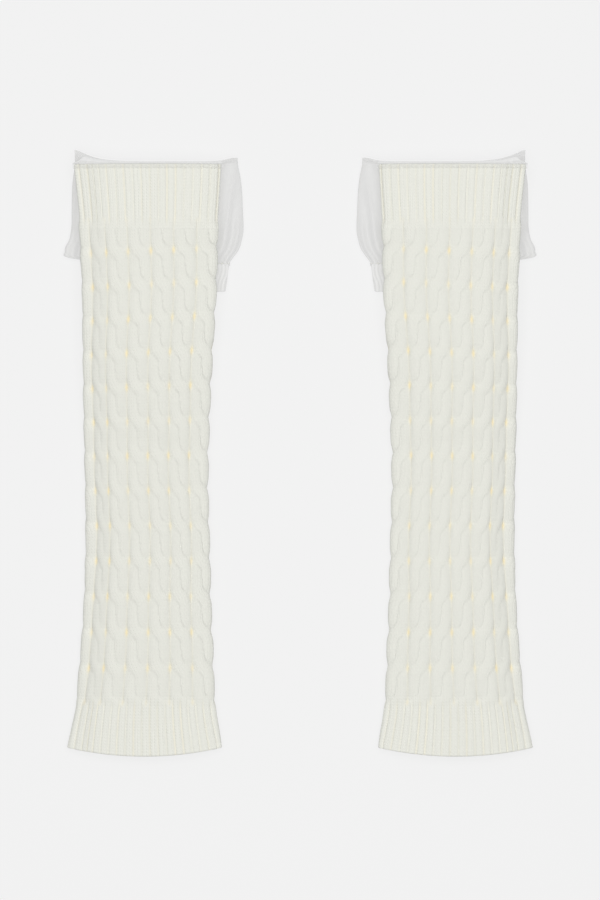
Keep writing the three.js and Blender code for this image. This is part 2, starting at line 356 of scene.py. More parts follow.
def new_material(name):
    """A material with a Principled shader, and its tree."""
    material = bpy.data.materials.new(name)
    material.use_nodes = True
    return material, material.node_tree, material.node_tree.nodes["Principled BSDF"]


def place_group(tree, group, scale, **values):
    """Puts a group on the piece's own cloth map, scaled, and sets its other inputs."""
    chart = tree.nodes.new("ShaderNodeUVMap")
    chart.uv_map = "cloth"
    mapping = tree.nodes.new("ShaderNodeMapping")
    mapping.inputs["Scale"].default_value = scale
    placed = tree.nodes.new("ShaderNodeGroup")
    placed.node_tree = group
    tree.links.new(chart.outputs["UV"], mapping.inputs["Vector"])
    tree.links.new(mapping.outputs["Vector"], placed.inputs["Map"])
    for name, value in values.items():
        placed.inputs[name].default_value = value
    return placed


def add_bump(tree, shader, height, strength, distance):
    """Lets a height tilt the shader's normal."""
    bump = tree.nodes.new("ShaderNodeBump")
    bump.inputs["Strength"].default_value = strength
    bump.inputs["Distance"].default_value = distance
    tree.links.new(height, bump.inputs["Height"])
    tree.links.new(bump.outputs["Normal"], shader.inputs["Normal"])


def mix_colours(tree, share, first, second):
    """A colour mix; share is a socket, and each colour is a tuple or a socket."""
    node = tree.nodes.new("ShaderNodeMix")
    node.data_type = "RGBA"
    tree.links.new(share, node.inputs["Factor"])
    for slot, value in ((node.inputs[6], first), (node.inputs[7], second)):
        if isinstance(value, bpy.types.NodeSocket):
            tree.links.new(value, slot)
        else:
            slot.default_value = (*tuple(value)[:3], 1)
    return node.outputs[2]


def knit_material(finish):
    """Cream yarn with stitches and fibres, painted shade at its sides and painted light in its hollows."""
    material, tree, shader = new_material("cream cable knit")
    stitches = place_group(tree, bpy.data.node_groups["knit stitches"], (1, 1, 1), Fuzz=0.5)
    shade = tree.nodes.new("ShaderNodeAttribute")
    shade.attribute_name = "shade"
    mottled = mix_colours(tree, stitches.outputs["Fibre"], finish.yarn_shade, finish.yarn_light)
    # Painted shade: the yarn darkens where its surface turns away from the camera, at the tube's sides.
    slant = tree.nodes.new("ShaderNodeLayerWeight")
    slant.inputs["Blend"].default_value = 0.5
    turned = math_node(tree, "POWER", slant.outputs["Facing"], 1.8)
    rounded = mix_colours(tree, turned, mottled, finish.yarn_edge_shade)
    # Painted light: the hollows take a warm tint and a weak glow, for light coming through the yarn.
    colour = mix_colours(tree, shade.outputs["Fac"], rounded, finish.yarn_hollow_light)
    tree.links.new(colour, shader.inputs["Base Color"])
    glow = mix_colours(tree, shade.outputs["Fac"], (0, 0, 0), finish.yarn_glow)
    tree.links.new(glow, shader.inputs["Emission Color"])
    shader.inputs["Emission Strength"].default_value = 1.0
    shader.inputs["Roughness"].default_value = 0.95
    shader.inputs["Specular IOR Level"].default_value = 0.15
    shader.inputs["Sheen Weight"].default_value = 0.05
    shader.inputs["Sheen Roughness"].default_value = 0.6
    add_bump(tree, shader, stitches.outputs["Height"], 0.55, 0.5 * MM)
    return material


def sheer_material(finish):
    """Very pale grey organza that lets part of the light through each layer.

    Light that scatters inside the cloth is given as a weak glow, stronger where layers lie close.
    """
    material, tree, shader = new_material("sheer organza")
    weave = place_group(tree, bpy.data.node_groups["plain weave"], (3000, 3000, 1), Slub=0.6)
    tint = mix_colours(tree, weave.outputs["Cover"], finish.sheer_shade, finish.sheer_light)
    tree.links.new(tint, shader.inputs["Base Color"])
    gathered = tree.nodes.new("ShaderNodeAttribute")
    gathered.attribute_name = "shade"
    pores = finish.sheer_cover - 0.75 * WEAVE_COVER
    single = math_node(tree, "MULTIPLY_ADD", weave.outputs["Cover"], WEAVE_COVER, pores)
    cover = math_node(tree, "MULTIPLY_ADD", gathered.outputs["Fac"], SHADE_COVER, single)
    tree.links.new(cover, shader.inputs["Alpha"])
    layered = math_node(tree, "MAXIMUM", gathered.outputs["Fac"], CLOSE_LAYERS)
    least = finish.sheer_glow - CLOSE_LAYERS * CLOSE_GLOW
    glow = math_node(tree, "MULTIPLY_ADD", layered, CLOSE_GLOW, least)
    tree.links.new(glow, shader.inputs["Emission Strength"])
    shader.inputs["Emission Color"].default_value = (1, 1, 0.985, 1)
    shader.inputs["Roughness"].default_value = 0.5
    shader.inputs["Specular IOR Level"].default_value = 0.3
    shader.inputs["Sheen Weight"].default_value = 0.2
    shader.inputs["Sheen Roughness"].default_value = 0.35
    add_bump(tree, shader, weave.outputs["Height"], 0.15, 0.08 * MM)
    return material


def thread_material(finish):
    """Ivory sewing thread with a fine twist along it."""
    material, tree, shader = new_material("ivory thread")
    place = tree.nodes.new("ShaderNodeTexCoord")
    twist = tree.nodes.new("ShaderNodeTexWave")
    twist.bands_direction = "DIAGONAL"
    twist.inputs["Scale"].default_value = 900.0
    twist.inputs["Distortion"].default_value = 1.5
    tree.links.new(place.outputs["Object"], twist.inputs["Vector"])
    colour = mix_colours(tree, twist.outputs["Fac"], finish.yarn_shade, finish.thread_light)
    tree.links.new(colour, shader.inputs["Base Color"])
    shader.inputs["Roughness"].default_value = 0.6
    shader.inputs["Sheen Weight"].default_value = 0.2
    add_bump(tree, shader, twist.outputs["Fac"], 0.3, 0.1 * MM)
    return material


def elastic_material(finish):
    """White woven elastic: ridges along the tape with weft threads across them."""
    material, tree, shader = new_material("woven elastic")
    weave = place_group(tree, bpy.data.node_groups["plain weave"], (900, 1400, 1), Slub=0.2)
    tint = mix_colours(tree, weave.outputs["Cover"], finish.thread_light, finish.elastic_light)
    tree.links.new(tint, shader.inputs["Base Color"])
    shader.inputs["Roughness"].default_value = 0.8
    add_bump(tree, shader, weave.outputs["Height"], 0.6, 0.2 * MM)
    return material


def label_material(finish):
    """Blank satin ribbon: long floats along the tape give it a soft sheen."""
    material, tree, shader = new_material("satin label")
    weave = place_group(tree, bpy.data.node_groups["plain weave"], (4000, 900, 1), Slub=0.2)
    tint = mix_colours(tree, weave.outputs["Cover"], finish.thread_light, finish.elastic_light)
    tree.links.new(tint, shader.inputs["Base Color"])
    shader.inputs["Roughness"].default_value = 0.35
    shader.inputs["Sheen Weight"].default_value = 0.3
    add_bump(tree, shader, weave.outputs["Height"], 0.2, 0.05 * MM)
    return material


# --- The knitted tube ----------------------------------------------------------------------------


def even_angles(shares, half_width, half_height, squareness):
    """Angles on a flattened oval at even distances round it, starting under its middle."""
    fine = np.linspace(-np.pi / 2, 3 * np.pi / 2, 6001)
    x = half_width * signed_power(np.cos(fine), 2 / squareness)
    z = half_height * signed_power(np.sin(fine), 2 / squareness)
    length = np.concatenate([[0], np.hypot(np.diff(x), np.diff(z)).cumsum()])
    return np.interp(np.mod(shares, 1), length / length[-1], fine)


def signed_power(value, power):
    """A power of the value's size, with its sign kept."""
    return np.sign(value) * np.abs(value) ** power


def crossing_down(count, sizes):
    """How far down the cable crossings lie: the first one's place, and then gently growing steps."""
    return sizes.first_crossing + sizes.crossing_step * count + sizes.crossing_growth * count**2


def crossings_above(down, sizes):
    """How many crossings lie above a place, with parts of one: the inverse of crossing_down."""
    b, c = sizes.crossing_step, sizes.crossing_growth
    return (np.sqrt(b * b + 4 * c * (down - sizes.first_crossing)) - b) / (2 * c)


def oval_ring(place, half, high, squareness, typical):
    """Flattened ovals at even distances round them, measured on an oval of typical half sizes.

    Across and up are signed powers of the angle's cosine and sine, from -1 to 1, and x and z are
    those shares of the half sizes. The normal stands square to the line between the neighbours.
    """
    angle = even_angles(place, *typical, squareness)
    across = signed_power(np.cos(angle), 2 / squareness)
    up = signed_power(np.sin(angle), 2 / squareness)
    x, z = half * across, high * up
    dx = np.roll(x, -1, 1) - np.roll(x, 1, 1)
    dz = np.roll(z, -1, 1) - np.roll(z, 1, 1)
    size = np.hypot(dx, dz) + 1e-12
    return across, up, x, z, dz / size, -dx / size


def cable_relief(place, down, sizes):
    """Height of the cables as a share of the deepest relief, painted hollow light, and the stitches'
    columns.

    Each column is a cable of two strands. Across a strand the height is the root of one minus the
    square of the distance from its middle. Once in each repeat one strand passes in front of the
    other along a smooth step, from one side of the column to the other; there both spread, the
    front one rises and the rear one sinks. The relief falls at the column's edges as a high power of
    the distance from its middle: a little way beside the strands, and down to the purl ground at a
    crossing, which leaves a pit. A warm tint in the pits, stronger in some than in others, and a
    fainter one along the gutters is painted light that comes through the yarn. The stitches lean
    with the strand that they are on.
    """
    column = place * CABLES
    across = (column - np.floor(column) - 0.5) * 2
    repeat = crossings_above(down, sizes) + 0.5
    turn = repeat - np.floor(repeat) - 0.5
    crossing = bell(turn, 0.16)
    front_at = 0.45 - 0.90 * smoothstep(-0.34, 0.34, turn)
    front = np.clip(1 - ((across - front_at) / (0.68 + 0.24 * crossing)) ** 2, 0, 1) ** 0.5
    rear = np.clip(1 - ((across + front_at) / (0.68 + 0.20 * crossing)) ** 2, 0, 1) ** 0.5
    front = front * (1 + 0.16 * bell(turn, 0.3))
    rear = rear * (1 - 0.42 * bell(turn, 0.25))
    strands = np.log((np.exp(9 * front) + np.exp(9 * rear)) / 2) / 9
    ground = 0.91 * (1 - bell(turn - 0.02, 0.17))
    fall = np.clip(1 - np.abs(across / (0.995 - 0.09 * crossing)) ** 6, 0, 1) ** 0.5
    relief = strands * (ground + (1 - ground) * fall) * (1 - 0.10 * crossing)
    edge = 1 - np.abs(across)
    gutter = np.floor(column + 0.5) % CABLES
    # Painted light: a warm tint in the pits and along the gutters stands for light through the yarn.
    pit_light_strength = 0.74 + 0.26 * np.sin(2.3 * gutter**2 + 3.7 * np.floor(repeat) ** 2)
    pit = bell(edge, 0.13) * bell(turn - 0.02, 0.10) * pit_light_strength
    hollow_light_mask = np.clip(pit + 0.10 * bell(edge, 0.08), 0, 1)
    own = np.where(front >= rear, front_at, -front_at)
    wale = (column - 0.5 * own * (1 - across**2)) * STITCHES_PER_CABLE
    return relief, hollow_light_mask, wale


def rib_relief(place, ribs):
    """Flat ribs of two stitches: a narrow valley beside each and a shallow groove down its middle.

    Both are Gaussians of the distance round the tube. The second value is painted warm light in the
    valleys, stronger in some valleys than in others.
    """
    phase = ribs * place
    count = np.floor(phase + 0.5)
    off = np.abs(phase - count)
    # Painted light: a warm tint in the valleys, stronger in some than in others.
    valley_light_strength = 0.62 + 0.38 * np.sin(count**2 * 1.7 + count)
    valley = bell(off, 0.15)
    groove = bell(0.5 - off, 0.07)
    return 1 - 0.8 * valley - 0.16 * groove, bell(off, 0.10) * valley_light_strength


def knit_points(place, down, inset, relief, sizes):
    """Points of the tube at places round it and distances down it, set in from its outer face.

    The section is a flattened oval between the CAD rings' sides. The relief stands out along its
    normal, and the underside is pressed flat where it lies. Low waves, a slight crease across and
    a sideways wander keep the cloth limp.
    """
    reach = [through(KNIT["down"], KNIT[key], down) for key in ("left", "right", "bottom", "ceiling")]
    left, right, bottom, ceiling = reach
    half = (right - left) / 2 - sizes.relief_room - inset
    high = (KNIT["ceiling"][0] - KNIT["bottom"][0]) / 2 + 0.2 * MM - sizes.relief_room - inset
    middle = ceiling - high - sizes.relief_room - inset
    wander = 0.9 * MM + 0.7 * MM * np.sin(down / (31 * MM)) + 0.4 * MM * np.sin(down / (13 * MM) + 1)
    drawn = sizes.side_draw * bell(np.mod(place, 1) - 0.75, 0.055)
    turned = place - (wander + drawn) / (4 * (half + high))
    across, up, x, z, out_x, out_z = oval_ring(turned, half, high, sizes.squareness, KNIT_OVAL)
    x = x + out_x * relief
    z = z + out_z * relief
    crease_down = sizes.crease_down + 2 * MM * np.sin(x / (19 * MM))
    crease = bell(down - crease_down, 6 * MM) - 0.45 * bell(down - crease_down + 12 * MM, 8 * MM)
    waves = 0.45 * MM * np.sin(x / (15 * MM) + 1) * np.sin(down / (21 * MM))
    z = z + np.clip(up, 0, 1) * (waves - sizes.crease_depth * crease)
    z = np.maximum(middle + z, bottom + 0.05 * MM + inset)
    bow = KNIT["bow"] * smoothstep(KNIT["rib_head"], KNIT["length"], down)
    lean = 0.05 * smoothstep(KNIT["rib_foot"], KNIT["rib_foot"] + 20 * MM, down)
    lean = lean * (1 - smoothstep(100 * MM, 250 * MM, down))
    y = KNIT["top"] - down + bow * across**2 + lean * x
    return np.stack([x + (left + right) / 2, y, z], axis=-1)


def knit_tube(name, side, rows, columns, relief_at, material, sizes, open_end):
    """A closed wall: an outer face with relief, a rounded rim at the open end, and a smooth inside.

    rows are distances down. relief_at gives relief, painted hollow light and wale at places and
    distances down.
    A rib's joined end tucks under the cable length's. A row that close to a joined end keeps the
    end's turn out of the shading, so that no line shows across the join.
    """
    wall = sizes.knit_wall
    turn = np.linspace(0, np.pi, 9)[1:-1]
    rim_inset = wall / 2 * (1 - np.cos(turn))
    rim_out = wall / 2 * np.sin(turn)
    rim_share = 0.5 * (1 + np.cos(turn))
    tucked = np.zeros(len(rows))
    near_end, under_cables = 0.03 * MM, 0.9 * MM
    under = np.array([near_end, under_cables])
    tuck = np.array([0, 0.5 * MM])
    if open_end == "top":
        rows = np.append(rows, rows[-1] + under)
        tucked = np.append(tucked, tuck)
    if open_end == "foot":
        rows = np.append(rows[0] - under[::-1], rows)
        tucked = np.append(tuck[::-1], tucked)
    if open_end is None:
        close = [rows[:1] + near_end, rows[-1:] - near_end]
        rows = np.concatenate([rows[:1], close[0], rows[1:-1], close[1], rows[-1:]])
        tucked = np.zeros(len(rows))
    inner_rows = np.linspace(rows[-1], rows[0], 14)
    down = [rows, inner_rows]
    inset = [tucked, np.full(len(inner_rows), wall)]
    share = [np.ones(len(rows)), np.zeros(len(inner_rows))]
    if open_end == "foot":
        down.insert(1, rows[-1] + rim_out)
        inset.insert(1, rim_inset)
        share.insert(1, rim_share)
    if open_end == "top":
        down.append(rows[0] - rim_out)
        inset.append(rim_inset[::-1])
        share.append(rim_share[::-1])
    down, inset, share = (np.concatenate(part)[:, None] for part in (down, inset, share))
    place = np.arange(columns + 1)[None, :] / columns
    relief, hollow_light_mask, wale = relief_at(place, down + 0 * place)
    raised = relief[:, :-1] * share * sizes.relief_depth
    points = knit_points(place[:, :-1], down, inset, raised, sizes)
    uv = np.stack([wale, down / sizes.row_height + 0 * wale], axis=-1)
    # The shade attribute carries the painted warm light in the hollows.
    piece = new_piece(
        name, side, points, grid_faces(len(down), columns, True), material,
        uv=corner_values(uv, len(down), columns, True), shade=hollow_light_mask[:, :-1] * share,
    )
    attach(piece, f"{side}_glove")
    return piece


# --- Stitches and seams --------------------------------------------------------------------------


def stitch_ring(name, side, ring, outward, count, material, length_share, radius):
    """A ring of separate running stitches, each a bent capsule of a few dozen faces.

    A stitch's middle line follows the ring, its radius is the root of one minus the square of the
    share along it, and it dips into the cloth at both ends as that square.
    """
    around, stations = 6, 6
    share = np.linspace(-0.97, 0.97, stations)
    at = (np.arange(count)[:, None] + 0.5 + share * length_share / 2) / count

    def sample(values):
        closed = np.vstack([values, values[:1]])
        places = np.linspace(0, 1, len(closed))
        return np.stack([np.interp(at, places, closed[:, i]) for i in range(3)], axis=-1)

    middle, out = sample(ring), sample(outward)
    along = np.gradient(middle, axis=1)
    along /= np.linalg.norm(along, axis=2, keepdims=True)
    beside = np.cross(along, out)
    angle = np.linspace(0, TAU, around, endpoint=False)[None, None, :, None]
    thick = radius * np.sqrt(1 - share**2)[None, :, None, None]
    middle = middle - out * (radius * 1.2 * share**2)[None, :, None]
    round_it = np.cos(angle) * out[:, :, None] + np.sin(angle) * beside[:, :, None]
    points = middle[:, :, None] + thick * round_it
    one = np.vstack([grid_faces(stations, around, False), zipped_caps(stations, around)])
    faces = (one[None] + (np.arange(count) * stations * around)[:, None, None]).reshape(-1, 4)
    piece = new_piece(name, side, points, faces, material)
    return piece


def seam_strip(name, side, material, steps, bump_length, squareness, lift=0.0):
    """A long rounded strip along a CAD strip's rings, its section a flattened oval.

    Its size swells and shrinks as a sine along it, where the thread binds the edge, and lift bows
    it up towards the middle as a sine.
    """
    rings = node_rings(f"left_{name}")
    at = rings[0, 1] - rings[:, 1]
    where = np.linspace(0, at[-1], steps)
    low = np.stack([through(at, rings[:, i], where) for i in (0, 2)], axis=-1)
    high = np.stack([through(at, rings[:, i], where) for i in (3, 5)], axis=-1)
    middle, half = (low + high) / 2, (high - low) / 2
    swell = 0.94 + 0.06 * np.sin(TAU * where / bump_length)
    ends = smoothstep(0, 0.6 * MM, np.minimum(where, at[-1] - where)) * 0.5 + 0.5
    place = np.arange(20)[None, :] / 20
    half = half * (swell * ends)[:, None]
    _, _, x, z, _, _ = oval_ring(
        place + 0 * where[:, None], half[:, :1], half[:, 1:], squareness, half.mean(0)
    )
    bowed = lift * np.sin(np.pi * where / at[-1])[:, None]
    points = np.stack(
        [middle[:, :1] + x, (rings[0, 1] - where)[:, None] + 0 * x, middle[:, 1:] + z + bowed], axis=-1
    )
    faces = np.vstack([grid_faces(steps, 20, False), zipped_caps(steps, 20)])
    uv = cloth_map(points, False)
    uv = np.vstack([uv, np.zeros((2 * 9 * 4, 2))])
    return new_piece(name, side, points, faces, material, uv=uv)


# --- The sheer puff and its cuff -----------------------------------------------------------------


def fold_rise(x, sizes):
    """The fold's height over the knitted edge: a low line with an ear at each of its ends.

    The outer ear falls off as a stretched exponential along the fold, the inner one as a Gaussian.
    """
    outer_at = KNIT["left"][0] + 1.8 * MM
    inner_at = PUFF_RINGS[0, 3] - 0.8 * MM
    outer = sizes.outer_ear * np.exp(-((np.abs(x - outer_at) / (13 * MM)) ** 1.3))
    inner = sizes.inner_ear * bell(x - inner_at, 9 * MM)
    return sizes.fold_reach + outer + inner


def pleats(place, count):
    """Uneven pleats round a gather: a sine whose phase and size drift with slower sines."""
    drift = 0.35 * np.sin(TAU * 3 * place) + 0.22 * np.sin(TAU * 7 * place + 1)
    size = 0.72 + 0.28 * np.sin(TAU * 5 * place + 2)
    return np.sin(TAU * (count * place + drift)) * size


def binding_points(sizes, columns):
    """A sheer band folded over the knitted edge, as one open sheet.

    It runs up the outside, over the edge along a half oval that rises into the ears, and down the
    inside.
    """
    outside = 0.72 * sizes.relief_depth + 0.15 * MM
    inside = sizes.knit_wall + 0.45 * MM
    overlap = np.linspace(3.2 * MM, 0, OVERLAP_ROWS)
    over = np.linspace(0, np.pi, 15)[1:-1]
    down = np.concatenate([overlap, -1.2 * MM * np.sin(over), overlap[::-1]])[:, None]
    crossing = (inside - outside) / 2 - (inside + outside) / 2 * np.cos(over)
    inset = np.concatenate([-outside + 0 * overlap, crossing, inside + 0 * overlap])[:, None]
    rise_share = np.concatenate([0 * overlap, np.sin(over), 0 * overlap])[:, None]
    place = np.arange(columns)[None, :] / columns
    ripple = 0.12 * MM * np.sin(TAU * 23 * place + 3 * np.sin(TAU * 4 * place))
    rest = knit_points(place + 0 * down, down + 0 * place, inset - ripple, 0 * (down + place), sizes)
    _, up, *_ = oval_ring(place, *KNIT_OVAL, sizes.squareness, KNIT_OVAL)
    ear = (fold_rise(rest[..., 0], sizes) - sizes.fold_reach) * smoothstep(-0.5, 0.3, up)
    rest[..., 1] += 0.75 * ear * rise_share
    return rest


def puff_points(sizes):
    """The puff as one open sheet, from inside the knitted edge round the fold to the gathers.

    Rows of the fold go through half a turn about the middle height between the knitted edge and
    the puff's layer: height follows the cosine of the turn and reach past the edge its sine. The
    upper side of the knitted edge meets the puff's lower layer. Below the fold each row is a
    flattened oval between the CAD rings' sides, with pleats that grow towards the gathers, slow
    waves, and one long ridge on the upper layer. The cloth's shade comes with the points.
    """
    columns = sizes.pleat_count * STEPS_PER_PLEAT
    place = np.arange(columns)[None, :] / columns
    length = PUFF_LENGTH
    down = HINGE[1] - PUFF_RINGS[:, 1]

    def body(at):
        """Points of the puff's rows at distances below the fold.

        Their shade is a painted highlight along the ridge and painted shade in the hollow beside it.
        """
        left = through(down, PUFF_RINGS[:, 0], at)
        right = through(down, PUFF_RINGS[:, 3], at)
        pinch = 1 - 0.25 * bell(at - length - 0.8 * MM, 1.6 * MM)
        room = sizes.pleat_height * smoothstep(0, 0.5 * length, at)
        half = (right - left) / 2 - 0.5 * room
        high = (PUFF_HEIGHT / 2 - 0.35 * MM - room) * pinch
        _, up, x, z, out_x, out_z = oval_ring(place + 0 * at, half, high, 2.6, PUFF_OVAL)
        grow = 0.10 + 0.90 * smoothstep(0.40 * length, 0.95 * length, at)
        calm = np.sin(np.pi * np.clip(at / length, 0, 1))
        long_waves = np.sin(TAU * 4 * place + at / (13 * MM))
        short_waves = np.sin(TAU * 9 * place - at / (8 * MM))
        waves = 0.45 * long_waves + 0.3 * short_waves
        lift = sizes.pleat_height * (pleats(place, sizes.pleat_count) * grow + 0.8 * waves * calm)
        x, z = x + out_x * lift, z + out_z * lift
        x = x + (left + right) / 2
        ridge_at = PUFF_RINGS[0, 3] - 1.5 * MM - 9 * MM * at / length
        ridge = bell(x - ridge_at, 2.0 * MM) * calm * np.clip(-up, 0, 1)
        hollow = bell(x - ridge_at - 4.5 * MM, 3.0 * MM) * calm * np.clip(-up, 0, 1)
        z = PUFF_HEIGHT / 2 - z + 1.4 * MM * ridge - 1.1 * MM * hollow
        y = HINGE[1] - at + 0 * z
        points = np.stack([x, y, np.clip(z, 0.15 * MM, PUFF_HEIGHT + 0.2 * MM)], axis=-1)
        # Painted highlight and shade: less cover along the ridge lets the floor through, more beside it.
        return points, 0.8 * hollow - 1.3 * ridge

    _, up, *_ = oval_ring(place, *KNIT_OVAL, sizes.squareness, KNIT_OVAL)
    back = 1 - smoothstep(-0.8, 0.3, up)
    start = knit_points(place, 0 * place - 0.3 * MM, sizes.knit_wall + 0.8 * MM, 0 * place, sizes)
    first, _ = body(np.array([[1.0 * MM]]))
    start[..., 1] += back * (HINGE[1] - 0.2 * MM - start[..., 1])
    start[..., 2] += back * (KNIT["bottom"][0] - 0.6 * MM - start[..., 2])
    turn = np.linspace(0, np.pi, 26)[:-1, None]
    early = np.sin(np.minimum(turn, np.pi / 2))
    x = start[..., 0] + (first[..., 0] - start[..., 0]) * early
    edge = start[..., 1] + (first[..., 1] - start[..., 1]) * turn / np.pi
    front = smoothstep(-0.75, 0.05, up)
    reach = KNIT["top"] + 1.2 * MM + front * (fold_rise(x, sizes) - 1.2 * MM)
    bent = np.sin(turn) ** 0.7
    y = edge + (reach - edge) * bent
    z = (start[..., 2] + first[..., 2]) / 2 + (start[..., 2] - first[..., 2]) / 2 * np.cos(turn)
    fold = np.stack([x, y, z], axis=-1)
    share = np.linspace(0, 1, 92)
    at = 1.0 * MM + (length + 1.6 * MM) * (share - 0.12 * np.sin(TAU * share) / TAU)
    hanging, ridge_light_and_shade = body(at[:, None])
    points = np.concatenate([fold, hanging])
    ridge_light_and_shade = np.concatenate([0 * fold[..., 0], ridge_light_and_shade])
    gathered = np.concatenate([np.zeros(len(fold)), smoothstep(0.55 * length, length, at)])
    clear = np.concatenate([0.8 * np.sin(turn[:, 0]), 0 * at])[:, None]
    # The cloth bunches towards the gathers, and the pleats' crests get more cover and a little glow:
    # painted light on the crests. The fold is made clearer.
    crest = 0.5 + 0.5 * pleats(place, sizes.pleat_count)
    return points, gathered[:, None] * (0.45 + 0.55 * crest) + ridge_light_and_shade - clear


def cuff_ring(place, at, inset, sizes):
    """x and z of the cuff's rows at distances below its upper edge, and their outward normals."""
    down = CUFF_RINGS[0, 1] - CUFF_RINGS[:, 1]
    low = np.interp(at, [0, down[-1]], CUFF_RINGS[[0, -1], 0])
    high = np.interp(at, [0, down[-1]], CUFF_RINGS[[0, -1], 3])
    half = (high - low) / 2 - inset
    tall = PUFF_HEIGHT / 2 - inset
    _, _, x, z, out_x, out_z = oval_ring(place, half, tall, 2.6, PUFF_OVAL)
    middle = (low + high) / 2 + 1.4 * MM * at / down[-1]
    return x + middle, z + PUFF_HEIGHT / 2, out_x, out_z


def casing_points(sizes):
    """Ruched cloth turned up round the elastic, as a closed loop of rows, and its folds' heights.

    The outer face runs from the gathers to the hem and the inner face back. Small pleats stand out
    along the normal, and are taller towards both edges than over the elastic.
    """
    length = CUFF_RINGS[0, 1] - CUFF_RINGS[-1, 1]
    outer = np.linspace(-0.6 * MM, length - 2.4 * MM, 30)
    turn = np.linspace(0, np.pi, 7)[1:-1]
    depth = 2.0 * MM
    at = np.concatenate([outer, outer[-1] + 0.6 * MM * np.sin(turn), outer[::-3]])[:, None]
    inset = [0 * outer, depth / 2 * (1 - np.cos(turn)), depth + 0 * outer[::-3]]
    inset = np.concatenate(inset)[:, None] + 0.65 * MM
    columns = sizes.cuff_pleats * STEPS_PER_PLEAT
    place = np.arange(columns)[None, :] / columns
    x, z, out_x, out_z = cuff_ring(place + 0 * at, at, inset, sizes)
    edges = bell(at, 3 * MM) + bell(at - length, 3 * MM)
    band = 0.25 * np.sin(TAU * at / (length / 3)) ** 2
    folds = pleats(place + 0.004 * np.sin(at / (3 * MM)), sizes.cuff_pleats)
    lift = 0.38 * MM * folds * (0.55 + 0.4 * edges) * (1 + band)
    y = CUFF_RINGS[0, 1] - at + 0.25 * MM * folds * edges
    return np.stack([x + out_x * lift, y, z + out_z * lift], axis=-1), 0.5 + 0.5 * folds + 0 * at


def elastic_points(sizes):
    """A flat tape inside the casing: a rounded oblong section with ripples where it is stitched."""
    length = CUFF_RINGS[0, 1] - CUFF_RINGS[-1, 1]
    turn = np.linspace(0, TAU, 28, endpoint=False)[:, None]
    at = length / 2 - 0.6 * MM + (length / 2 - 3.2 * MM) * signed_power(np.cos(turn), 0.25)
    inset = 1.95 * MM - 0.32 * MM * signed_power(np.sin(turn), 0.6)
    place = np.arange(360)[None, :] / 360
    x, z, out_x, out_z = cuff_ring(place + 0 * at, at, inset, sizes)
    lift = 0.10 * MM * np.sin(TAU * 60 * place)
    y = CUFF_RINGS[0, 1] - at + 0 * place
    return np.stack([x + out_x * lift, y, z + out_z * lift], axis=-1)


# --- Sizes and colours that a user would change --------------------------------------------------


def length_value(name, description, default):
    return bpy.props.FloatProperty(
        name=name, description=description, default=default, unit="LENGTH", precision=5
    )


def colour_value(name, description, default):
    return bpy.props.FloatVectorProperty(
        name=name, description=description, default=default, subtype="COLOR", min=0, max=1
    )


class GloveSizes(bpy.types.PropertyGroup):
    """Sizes of the cloth and its relief, in metres."""

    relief_depth: length_value("Relief", "Height of the cables over the purl ground", 2.3 * MM)
    relief_room: length_value("Relief room", "How far the purl ground lies inside the CAD face", 1.8 * MM)
    knit_wall: length_value("Knit wall", "Thickness of the knit under its relief", 2.0 * MM)
    squareness: bpy.props.FloatProperty(
        name="Squareness", description="Exponent of the tube's flattened oval", default=2.2
    )
    first_crossing: length_value("First crossing", "From the top edge to the first crossing", 58.1 * MM)
    crossing_step: length_value("Crossing step", "From one crossing to the next", 22.5 * MM)
    crossing_growth: length_value("Crossing growth", "What each step gains, halved", 0.075 * MM)
    row_height: length_value("Stitch row", "Height of one row of stitches", 2.1 * MM)
    side_draw: length_value("Side draw", "How far the outer side turns onto the upper face", 6 * MM)
    crease_down: length_value("Crease", "From the top edge to the crease across the tube", 187.5 * MM)
    crease_depth: length_value("Crease depth", "How far the crease dips", 0.7 * MM)
    upper_ribs: bpy.props.IntProperty(
        name="Upper ribs", description="Ribs round the band at the hand", default=34
    )
    lower_ribs: bpy.props.IntProperty(
        name="Lower ribs", description="Ribs round the hem", default=37
    )
    fold_reach: length_value("Fold reach", "How far the folded sheer stands past the knit", 2.1 * MM)
    outer_ear: length_value("Outer ear", "What the ear at the outer corner adds to the fold", 7.8 * MM)
    inner_ear: length_value("Inner ear", "What the ear at the inner corner adds to the fold", 2.6 * MM)
    pleat_height: length_value("Pleats", "Height of the pleats at the gathers", 1.1 * MM)
    pleat_count: bpy.props.IntProperty(
        name="Pleat count", description="Pleats round the gathers", default=38
    )
    cuff_pleats: bpy.props.IntProperty(
        name="Cuff pleats", description="Small pleats round the cuff", default=60
    )
    binding_stitches: bpy.props.IntProperty(
        name="Binding stitches", description="Stitches round the top band", default=72
    )
    gather_stitches: bpy.props.IntProperty(
        name="Gather stitches", description="Stitches round the gathers", default=70
    )


